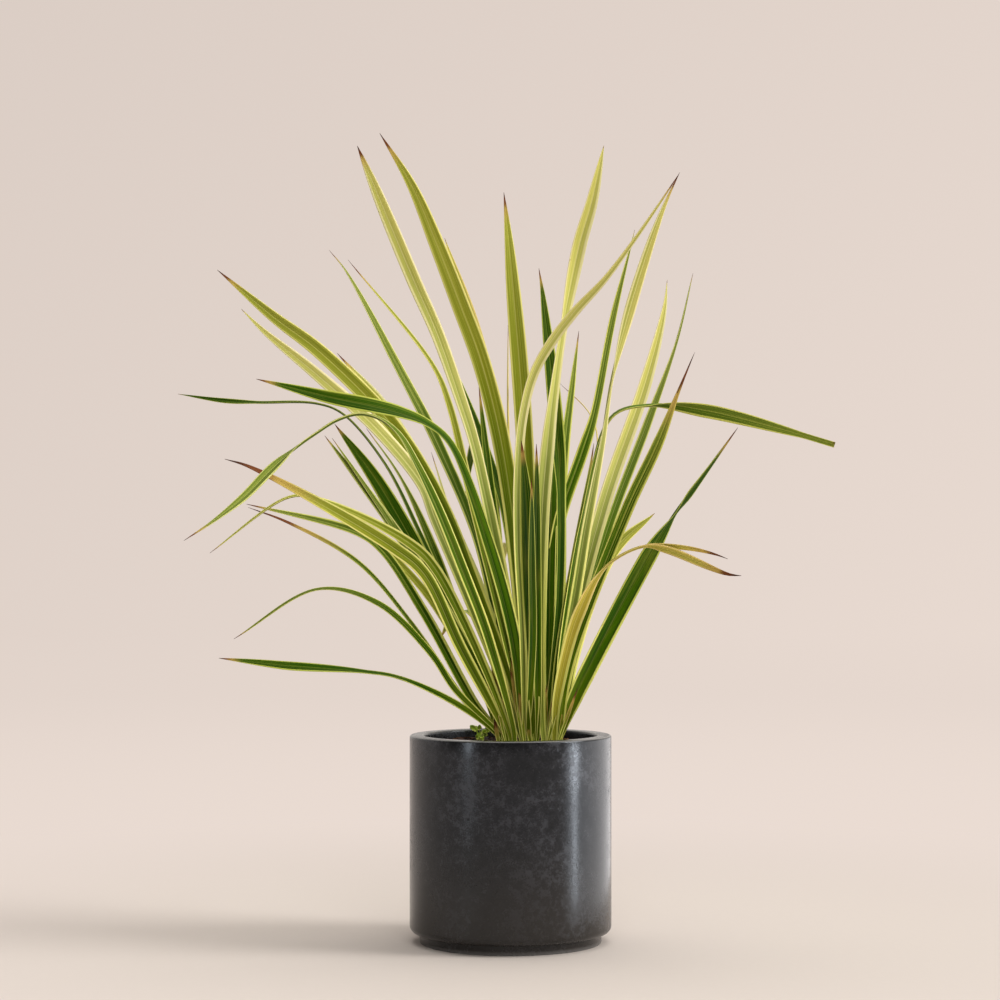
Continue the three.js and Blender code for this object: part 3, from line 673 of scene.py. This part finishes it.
def leaf_material():
    n = new_material("striped_leaf")
    across, along, from_tip = n.split(n.attribute("where"))
    side_seed, brown, share = n.split(n.attribute("traits"))
    from_middle = n.math("ABSOLUTE", across)
    upper = n.span(side_seed, -0.5, 0.5)
    shift = n.times(n.math("ABSOLUTE", side_seed), 7.3)

    def streaks(across_scale, along_scale, scale, detail, roughness=0.5):
        """Noise stretched along the blade."""
        place = n.join(n.times(across, across_scale), n.times(along, along_scale), shift)
        return n.noise(place, scale, detail, roughness)

    # Fine veins run the whole length, and the bands between them wander a little.
    veins = streaks(9.0, 1.6, 1.7, 3.0, 0.62)
    bands = streaks(2.6, 2.4, 1.0, 2.0)
    patches = streaks(1.0, 11.0, 1.3, 2.0, 0.55)
    fraction = n.math("DIVIDE", along, n.math("ADD", along, from_tip))
    low = n.span(fraction, 0.55, 0.20)

    # The pale margins differ from side to side, and are broadest and brightest low down.
    lopsided = n.math("SUBTRACT", n.noise(n.join(shift, 0.3, 0.7), 1.0, 0.0), 0.5)
    offset = n.math("MULTIPLY_ADD", lopsided, 0.5, across)
    wander = n.times(n.math("SUBTRACT", bands, 0.5), 0.42)
    out = n.math("ADD", n.math("ABSOLUTE", offset), wander)
    edge_from = n.math("SUBTRACT", n.math("MULTIPLY_ADD", low, -0.13, 1.0), share)
    margin = n.span(out, n.math("SUBTRACT", edge_from, 0.07), n.math("ADD", edge_from, 0.07))
    rim_line = n.span(from_middle, 0.79, 0.86)

    # Low down there are fewer pale stripes, and the midrib is fainter.
    fewer = n.math("MULTIPLY_ADD", low, -0.55, 1.0)
    striped = n.times(n.math("MULTIPLY", share, 2.4, clamp=True), fewer)
    stripe = n.times(n.span(veins, 0.55, 0.62), striped)
    ribbed = n.times(n.math("MULTIPLY", share, 1.6, clamp=True), fewer)
    midrib = n.times(n.span(from_middle, 0.09, 0.03), ribbed)
    dark_vein = n.times(n.span(veins, 0.44, 0.36), 0.5)
    body = n.attribute("body", "Color")
    pale = n.mix(low, n.attribute("margin", "Color"), PALE_FOOT)
    darker = n.tinted(body, VEIN_TINT)
    green = n.mix(n.times(n.span(bands, 0.40, 0.62), 0.55), body, darker)
    green = n.mix(dark_vein, green, darker)
    green = n.mix(stripe, green, n.tinted(pale, STRIPE_TINT))

    # Low down leaves are a deeper green, darkened further by painted shade of the crowded clump.
    # They are yellower towards the end, and fresh green at the foot.
    low_down = n.times(n.span(fraction, 0.02, 0.14), n.span(fraction, 0.66, 0.34))
    deep_green_and_shade = n.times(low_down, n.span(share, 0.33, 0.31, 0.0, 0.64))
    green = n.mix(deep_green_and_shade, green, n.mix(n.span(bands, 0.35, 0.65), *DEEP_AND_SHADED_GREENS))
    yellowing = n.times(n.span(fraction, 0.5, 0.95), n.span(share, 0.12, 0.34, 0.0, 0.6))
    green = n.mix(yellowing, green, YELLOWED)
    green = n.mix(n.times(n.span(along, 0.13, 0.01), 0.5), green, GREEN_FOOT)
    colour = n.mix(n.math("MAXIMUM", margin, n.times(rim_line, 0.8)), green, pale)
    colour = n.mix(midrib, colour, pale)

    # The underside is duller, and one half of the folded blade has painted shade.
    below = n.math("SUBTRACT", 1.0, upper)
    colour = n.mix(n.times(below, 0.3), colour, n.mix(0.5, colour, UNDERSIDE))
    half = n.times(across, n.times(lopsided, 60.0))
    shaded = n.times(n.span(half, -0.6, 0.6), 0.45)
    colour = n.mix(shaded, colour, n.tinted(colour, SHADE_TINT))
    colour = n.mix(n.times(n.span(patches, 0.50, 0.75), 0.12), colour, OLIVE_PATCH)

    # Rust-coloured flecks sit on the margins, and the tip dries to straw and then to brown.
    fleck = streaks(3.0, 60.0, 1.0, 3.0, 0.7)
    rusty = n.times(n.span(fleck, 0.70, 0.75), n.span(from_middle, 0.6, 0.95))
    colour = n.mix(n.times(rusty, 0.75), colour, RUST)
    ragged = n.math("MULTIPLY_ADD", n.math("SUBTRACT", veins, 0.5), 0.03, from_tip)

    def within(start, full):
        """Rises towards the tip, between two shares of the brown tip's length."""
        return n.span(ragged, n.times(brown, start), n.times(brown, full))

    dead = within(1.15, 0.85)
    colour = n.mix(n.times(within(2.4, 1.1), 0.7), colour, DRIED)
    colour = n.mix(dead, colour, DEAD)
    colour = n.mix(n.times(within(0.6, 0.2), 0.85), colour, BLACKENED)

    rough = n.math("ADD", n.span(veins, 0.3, 0.7, 0.42, 0.60), n.times(dead, 0.25))
    height = n.math("ADD", n.times(veins, 0.8), n.times(patches, 0.35))
    return n.finish(colour, rough, n.bump(height, 0.55, 0.0007), Specular_IOR_Level=0.04)


# Plant

FAN_SEED = 100


def plant():
    leaf = leaf_material()
    for number, (name, (column, row, leaves)) in enumerate(FANS.items()):
        rng = np.random.default_rng(FAN_SEED + number)
        crown = CLUMP_X + column * COLUMN_PITCH, row * ROW_PITCH
        blades = Blades()
        for i, one in enumerate(leaves):
            add_leaf(blades, one, crown, 2 * i / (len(leaves) - 1) - 1, rng)
        add_crown(blades, crown, rng)
        add_stubs(blades, crown, rng)
        new_piece("leaves_" + name, blades.mesh("leaves_" + name, leaf), "leaf", "fan_" + name)
    new_piece("seedling", seedling().mesh("seedling", leaf), "leaf")


# Pot

POT_SEGMENTS = 192
DRILL_SEGMENTS = 32
DRILL_REACH = (-20, 60)


def arc(centre_r, centre_z, radius, start, stop, steps):
    return [(centre_r + radius * math.cos(a), centre_z + radius * math.sin(a))
            for a in np.radians(np.linspace(start, stop, steps + 1))]


def around(spokes):
    """Each place in a ring and the one after it."""
    return [(j, (j + 1) % spokes) for j in range(spokes)]


def quads(rings, spokes):
    """The faces between neighbouring rings, of which the first starts at vertex 1."""
    return [(a + j, a + k, a + spokes + k, a + spokes + j)
            for a in range(1, 1 + (rings - 1) * spokes, spokes) for j, k in around(spokes)]


def ring_mesh(name, bottom, rings, top):
    """A closed mesh between two points on the axis, through rings of equally many points."""
    spokes = len(rings[0])
    vertices = [(0, 0, bottom), *(v for ring in rings for v in ring), (0, 0, top)]
    last, end = 1 + (len(rings) - 1) * spokes, len(vertices) - 1
    faces = quads(len(rings), spokes)
    for j, k in around(spokes):
        faces += [(0, 1 + k, 1 + j), (end, last + j, last + k)]
    return new_mesh(name, [tuple(c * MM for c in v) for v in vertices], faces)


def circle(r, z, segments):
    return [(r * math.cos(a), r * math.sin(a), z)
            for a in np.linspace(0, 2 * math.pi, segments, endpoint=False)]


def lathe(profile, segments, name):
    """A closed solid of revolution from a profile that starts and ends on the axis."""
    rings = [circle(r, z, segments) for r, z in profile[1:-1]]
    return ring_mesh(name, profile[0][1], rings, profile[-1][1])


def pot_profile():
    outer, inner, foot = POT_DIAMETER / 2, POT_DIAMETER / 2 - WALL, FOOT_DIAMETER / 2
    e, r, c = LOWER_EDGE_RADIUS, RIM_EDGE_RADIUS, FLOOR_CORNER_RADIUS
    return [
        (0, 0), (foot * 0.5, 0), (foot - 2, 0), *arc(foot - 1, 1, 1, -90, 0, 3)[1:],
        (foot, FOOT_HEIGHT - 1.2), (foot + 0.4, FOOT_HEIGHT - 0.3), (foot + 1.2, FOOT_HEIGHT),
        *arc(outer - e, FOOT_HEIGHT + e, e, -84, 0, 9),
        *[(outer, z) for z in np.linspace(FOOT_HEIGHT + e, POT_HEIGHT - r, 14)[1:-1]],
        *arc(outer - r, POT_HEIGHT - r, r, 0, 90, 7),
        *arc(inner + r, POT_HEIGHT - r, r, 90, 180, 7),
        (inner, 180), (inner, 110), (inner, FLOOR + c),
        *arc(inner - c, FLOOR + c, c, 0, -90, 5)[1:], (inner * 0.4, FLOOR), (0, FLOOR),
    ]


def concrete():
    n = new_material("charcoal_concrete")
    at = n.coordinates()
    x, y, z = n.split(at)
    clouds = n.noise(at, 11.0, 4.0, 0.6, 0.6)
    mottle = n.noise(at, 95.0, 8.0, 0.80)
    grain = n.noise(at, 420.0, 3.0, 0.6)
    pick = n.span(n.noise(at, 24.0, 2.0), 0.54, 0.60)
    pits = n.times(n.span(n.cells(at, 46.0), 0.13, 0.05), pick)
    pinholes = n.times(n.span(n.cells(at, 190.0), 0.16, 0.06), n.span(mottle, 0.5, 0.62))
    hole = n.math("MAXIMUM", pits, n.times(pinholes, 0.7))

    base = n.mix(n.span(clouds, 0.3, 0.7), rgb(8, 8, 10), rgb(22, 22, 25))
    patch = n.times(n.span(mottle, 0.42, 0.64), n.span(clouds, 0.38, 0.62, 0.2, 1.0))
    base = n.mix(n.times(patch, 0.5), base, rgb(74, 74, 79))
    # Painted lighter and warmer towards the bottom: a painted reflection of the pale floor.
    base = n.mix(n.times(n.span(z, 0.16, 0.02), 0.6), base, rgb(46, 40, 33))
    base = n.mix(n.times(n.span(grain, 0.55, 0.75), 0.18), base, rgb(84, 82, 80))

    # The rim's rounded edges are painted lighter, a painted highlight.
    # The lowest few millimetres of the foot are a little lighter too.
    rim, outer, inner = (v * MM for v in (POT_HEIGHT, POT_DIAMETER / 2, POT_DIAMETER / 2 - WALL))
    far = n.from_axis(x, y)
    rounded = n.math("MAXIMUM", n.span(far, outer - 0.0035, outer - 0.0015),
                     n.span(far, inner + 0.003, inner + 0.001))
    edge = n.times(rounded, n.span(z, rim - 0.0018, rim - 0.0004))
    edge = n.math("MAXIMUM", edge, n.span(z, 0.006, 0.001, 0.0, 0.5))
    base = n.mix(n.times(edge, 0.7), base, rgb(140, 138, 136))
    # Pits and pinholes are painted near black, as painted shade in their hollows.
    base = n.mix(n.times(hole, 0.85), base, rgb(14, 13, 13))

    rough = n.math("ADD", n.span(patch, 0.0, 1.0, 0.18, 0.38), n.times(hole, 0.3))
    rough = n.math("ADD", rough, n.times(n.span(clouds, 0.3, 0.7), 0.05))
    height = n.math("ADD", n.times(mottle, 0.35), n.times(grain, 0.12))
    height = n.math("SUBTRACT", height, hole)
    return n.finish(base, rough, n.bump(height, 0.35, 0.0008), Specular_IOR_Level=0.42,
                    Specular_Tint=(0.84, 0.92, 1.0, 1))


def applied(thing, name):
    """A new mesh of the object with its modifiers applied."""
    bpy.context.view_layer.update()
    graph = bpy.context.evaluated_depsgraph_get()
    mesh = bpy.data.meshes.new_from_object(thing.evaluated_get(graph))
    mesh.name = name
    return mesh


def pot():
    blank = linked("pot_blank", lathe(pot_profile(), POT_SEGMENTS, "pot_blank"))
    low, high = DRILL_REACH
    r = DRAIN_DIAMETER / 2
    cutters = []
    for i in range(DRAIN_HOLES):
        a = math.radians(90 + 360 * i / DRAIN_HOLES)
        drill = lathe([(0, low), (r, low), (r, high), (0, high)], DRILL_SEGMENTS, "drill")
        cutter = linked("drill", drill)
        place = DRAIN_CIRCLE_RADIUS * MM
        cutter.location = (place * math.cos(a), place * math.sin(a), 0)
        cut = blank.modifiers.new("drain", "BOOLEAN")
        cut.object = cutter
        cut.solver = "EXACT"
        cutters.append(cutter)
    mesh = applied(blank, "pot_shell")
    for thing in [blank, *cutters]:
        bpy.data.objects.remove(thing)
    mesh.materials.clear()
    mesh.materials.append(concrete())
    shade(mesh)
    mesh.set_sharp_from_angle(angle=math.radians(50))
    new_piece("pot_shell", mesh, "pot", "pot")


# Soil

SOIL_RINGS = 44
SOIL_SPOKES = 150
SOIL_BROWN = rgb(58, 38, 28)
CHIPS = 420
CHIP_SEED = 7
# Least and greatest half length, half width and half thickness of a bark chip
CHIP_SIZES = ((2.2, 6.5), (1.4, 3.6), (0.6, 1.5))
CHIP_TILT = 0.35
CHIP_BROWNS = [rgb(92, 54, 34), rgb(70, 42, 28), rgb(116, 70, 44), rgb(48, 32, 26),
               rgb(128, 90, 60)]
CHIP_BEVEL = 0.6
CUBE = np.array([(x, y, z) for x in (-1, 1) for y in (-1, 1) for z in (-1, 1)], float)
CUBE_FACES = [(0, 1, 3, 2), (4, 6, 7, 5), (0, 4, 5, 1), (2, 3, 7, 6), (0, 2, 6, 4), (1, 5, 7, 3)]


def soil_top(x, y):
    """Height of the soil in millimetres: a low mound with crumbs of several sizes."""
    r = np.hypot(x, y) / (POT_DIAMETER / 2 - WALL)
    crumbs = (np.sin(x * 0.21 + 1.3) * np.cos(y * 0.17) + np.sin(x * 0.09 - y * 0.13)
              + 0.6 * np.sin(x * 0.53 + 2 * np.sin(y * 0.31)) * np.cos(y * 0.61 - 0.4)
              + 0.4 * np.sin(x * 1.27 + 1.1 * y) * np.sin(y * 1.43 - 0.6 * x))
    return POT_HEIGHT - SOIL_BELOW_RIM + SOIL_MOUND * (1 - r * r) + 0.6 * crumbs


def bark_material():
    n = new_material("bark_soil")
    at = n.coordinates()
    tint = n.attribute("tint", "Color")
    fibres = n.noise(at, 260.0, 4.0, 0.7, 1.2)
    clods = n.noise(at, 70.0, 3.0, 0.6)
    colour = n.mix(n.span(fibres, 0.35, 0.7), n.tinted(tint, (0.35, 0.32, 0.3, 1)), tint)
    colour = n.mix(n.times(n.span(clods, 0.55, 0.7), 0.5), colour, rgb(30, 20, 16))
    speck = n.span(n.cells(at, 420.0), 0.12, 0.05)
    picked = n.times(speck, n.span(n.noise(at, 130.0, 1.0), 0.62, 0.68))
    colour = n.mix(n.times(picked, 0.6), colour, rgb(176, 160, 138))
    rough = n.span(fibres, 0.3, 0.7, 0.75, 0.98)
    height = n.math("ADD", fibres, n.times(clods, 0.8))
    return n.finish(colour, rough, n.bump(height, 0.8, 0.0012), Specular_IOR_Level=0.25)


def add_tint(mesh, colours, material):
    layer = mesh.attributes.new("tint", "FLOAT_COLOR", "POINT")
    layer.data.foreach_set("color", np.asarray(colours, np.float32).ravel())
    mesh.materials.append(material)
    shade(mesh)


def soil_bed(radius, material):
    angles = np.linspace(0, 2 * math.pi, SOIL_SPOKES, endpoint=False)
    corner = FLOOR_CORNER_RADIUS
    bottom = FLOOR + FIT_GAP
    sides = [(radius * 0.5, bottom), *arc(radius - corner, bottom + corner, corner, -90, 0, 4),
             (radius, 120), (radius, POT_HEIGHT - SOIL_BELOW_RIM - 2)]
    rings = [circle(r, z, SOIL_SPOKES) for r, z in sides]
    for r in radius * (1 - np.arange(SOIL_RINGS) / SOIL_RINGS):
        x, y = r * np.cos(angles), r * np.sin(angles)
        rings.append(np.column_stack([x, y, soil_top(x, y)]).tolist())
    mesh = ring_mesh("soil_bed", bottom, rings, float(soil_top(0, 0)))
    add_tint(mesh, [SOIL_BROWN] * len(mesh.vertices), material)
    return mesh


def spin(i, j, angle):
    """A matrix that turns row vectors from axis i towards axis j."""
    m = np.eye(3)
    m[i, i] = m[j, j] = math.cos(angle)
    m[i, j], m[j, i] = math.sin(angle), -math.sin(angle)
    return m


def bark_chips(radius, material):
    """Loose flakes of bark on the soil, each an uneven box with bevelled edges."""
    rng = np.random.default_rng(CHIP_SEED)
    points, faces, tints = [], [], []
    while len(points) < CHIPS:
        a, r = rng.uniform(0, 2 * math.pi), (radius - 6) * math.sqrt(rng.uniform(0, 1))
        x, y = r * math.cos(a), r * math.sin(a)
        size = np.array([rng.uniform(*limits) for limits in CHIP_SIZES])
        if r + size[0] > radius - 1:
            continue
        turn, tilt = rng.uniform(0, 2 * math.pi), rng.uniform(-CHIP_TILT, CHIP_TILT)
        chip = CUBE * (1 + rng.uniform(-0.35, 0.25, (8, 1))) * size
        chip = chip @ spin(2, 0, tilt) @ spin(0, 1, turn)
        chip += (x, y, float(soil_top(x, y)) + 0.3)
        faces += [tuple(8 * len(points) + v for v in f) for f in CUBE_FACES]
        points.append(chip)
        tints += [CHIP_BROWNS[rng.integers(len(CHIP_BROWNS))]] * 8
    mesh = new_mesh("bark_chips", (np.vstack(points) * MM).tolist(), faces)
    add_tint(mesh, tints, material)
    blank = linked("chips_blank", mesh)
    finer = blank.modifiers.new("finer", "SUBSURF")
    finer.levels = 1
    finer.subdivision_type = "SIMPLE"
    bevel = blank.modifiers.new("edges", "BEVEL")
    bevel.width = CHIP_BEVEL * MM
    bevel.segments = 1
    done = applied(blank, "bark_chips")
    bpy.data.objects.remove(blank)
    shade(done, False)
    return done


def soil():
    material = bark_material()
    radius = POT_DIAMETER / 2 - WALL - FIT_GAP
    new_piece("soil_bed", soil_bed(radius, material), "soil", "soil")
    new_piece("bark_chips", bark_chips(radius, material), "soil")


# Studio, in metres

FLOOR_RADII = [0.5, 1.2, 2.4, 4, 8, 13]
FLOOR_SEGMENTS = 128
FLOOR_TINTS = ((0.605, 0.549, 0.508, 1), (0.625, 0.569, 0.524, 1))
FLOOR_FADES = (0.35, 1.4)
DOME_RADIUS = 13000 * MM
DOME_SEGMENTS = 64
BACKDROP = rgb(228, 214, 205)
WARM = (1.0, 0.975, 0.95)
SOFT_WARM = (1.0, 0.985, 0.97)
FILL_WARM = (1.0, 0.985, 0.96)
COOL = (0.96, 0.97, 1.0)
COOLER = (0.95, 0.97, 1.0)
AIR_COLOUR = (1.0, 0.93, 0.87, 1)
LENS = 86.4
SENSOR_WIDTH = 36
SHIFT_Y = 0.0657


def add_glow(n, level):
    """Emission of the backdrop, a little brighter to the right and darker high up."""
    x, _, z = n.split(n.coordinates())
    strength = n.math("MULTIPLY_ADD", z, -0.013, n.math("MULTIPLY_ADD", x, 0.011, level))
    return n.fed("Emission", BACKDROP, strength)


def floor_material():
    n = new_material("floor_paper")
    x, y, _ = n.split(n.coordinates())
    far = n.from_axis(x, y)
    grain = n.noise(n.coordinates(), 90.0, 3.0, 0.6)
    n.finish(n.mix(grain, *FLOOR_TINTS), n.span(grain, 0.2, 0.8, 0.75, 0.85),
             n.bump(grain, 0.05, 0.0004), Specular_IOR_Level=0.0)
    glow = add_glow(n, n.span(far, 1.2, 6.0, 1.055, 1.0))
    both = n.fed("MixShader", n.span(far, *FLOOR_FADES), n.shader.outputs[0], glow)
    n.put(n.output.inputs["Surface"], both)
    return n.owner


def dome_material():
    n = new_material("dome_paper")
    n.put(n.output.inputs["Surface"], add_glow(n, 1.0))
    return n.owner


def backdrop():
    """A round floor that fades into a plain dome, so that there is no horizon line."""
    vertices = [(0, 0, 0), *(v for r in FLOOR_RADII for v in circle(r, 0, FLOOR_SEGMENTS))]
    faces = [(0, 1 + j, 1 + k) for j, k in around(FLOOR_SEGMENTS)]
    faces += [face[::-1] for face in quads(len(FLOOR_RADII), FLOOR_SEGMENTS)]
    mesh = new_mesh("studio_floor", vertices, faces)
    mesh.materials.append(floor_material())
    floor = linked("studio_floor", mesh)

    r = DOME_RADIUS / MM
    mesh = lathe([(0, -r), *arc(0, 0, r, -80, 80, 16), (0, r)], DOME_SEGMENTS, "studio_dome")
    mesh.flip_normals()
    mesh.materials.append(dome_material())
    shade(mesh)
    dome = linked("studio_dome", mesh)
    for flag in ("diffuse", "glossy", "transmission", "volume_scatter", "shadow"):
        setattr(dome, "visible_" + flag, False)


def lamp(name, kind, place, target, seen_by="diffuse glossy", **settings):
    light = bpy.data.lights.new(name, kind)
    if kind == "AREA":
        light.shape = "RECTANGLE"
    for key, value in settings.items():
        setattr(light, key, value)
    thing = linked(name, light)
    thing.location = place
    thing.rotation_euler = (Vector(target) - Vector(place)).to_track_quat("-Z", "Y").to_euler()
    thing.visible_camera = False
    for ray in ("diffuse", "glossy"):
        setattr(thing, "visible_" + ray, ray in seen_by)


def lights():
    lamp("key_right", "SUN", (3.2, -0.55, 1.8), (0, 0, 0),
         energy=2.1, angle=math.radians(24), color=WARM)
    lamp("top", "AREA", (0.4, 0.5, 6.0), (0.1, 0.3, 0.3),
         size=5, size_y=5, energy=160, color=SOFT_WARM)
    lamp("fill_front", "AREA", (0.3, -3.2, 2.0), (0, 0, 0.45), "diffuse",
         size=1.8, size_y=1.8, energy=46, color=FILL_WARM)
    # These are only reflected, and give the pot its highlights.
    lamp("panel_right", "AREA", (0.36, 0.18, 0.14), (0, 0.18, 0.14), "glossy",
         size=0.83, size_y=0.27, energy=1.0, color=COOL)
    lamp("strip_right", "AREA", (0.34, -0.156, 0.13), (0, -0.09, 0.13), "glossy",
         size=0.02, size_y=0.22, energy=0.18, color=COOL)
    lamp("glint_right", "AREA", (0.335, -0.156, 0.21), (0, -0.09, 0.21), "glossy",
         size=0.02, size_y=0.07, energy=0.12, color=COOL)
    lamp("strip_left", "AREA", (-1.62, -1.49, 0.8), (0, 0, 0.4), "glossy",
         size=0.20, size_y=1.4, energy=8, color=COOLER)


def air():
    """Light from around: brighter behind the plant and to the right, dim from the front."""
    n = Nodes(bpy.data.worlds.new("studio_air"))
    x, y, _ = n.split(n.coordinates("Generated"))
    behind = n.span(y, -0.4, 0.5, 0.05, 0.86)
    right = n.span(x, 0.2, 0.9, 0.0, 0.30)
    n.put(n.shader.inputs["Strength"], n.math("ADD", behind, right))
    n.put(n.shader.inputs["Color"], AIR_COLOUR)
    bpy.context.scene.world = n.owner


def camera():
    data = bpy.data.cameras.new("photo_camera")
    data.lens, data.sensor_width, data.shift_y = LENS, SENSOR_WIDTH, SHIFT_Y
    view = linked("photo_camera", data)
    view.location = [c * MM for c in EYE]
    view.rotation_euler = (math.radians(90), 0, 0)
    scene = bpy.context.scene
    scene.camera = view
    scene.view_settings.view_transform, scene.view_settings.look = "Standard", "None"


plant()
pot()
soil()
backdrop()
lights()
air()
camera()
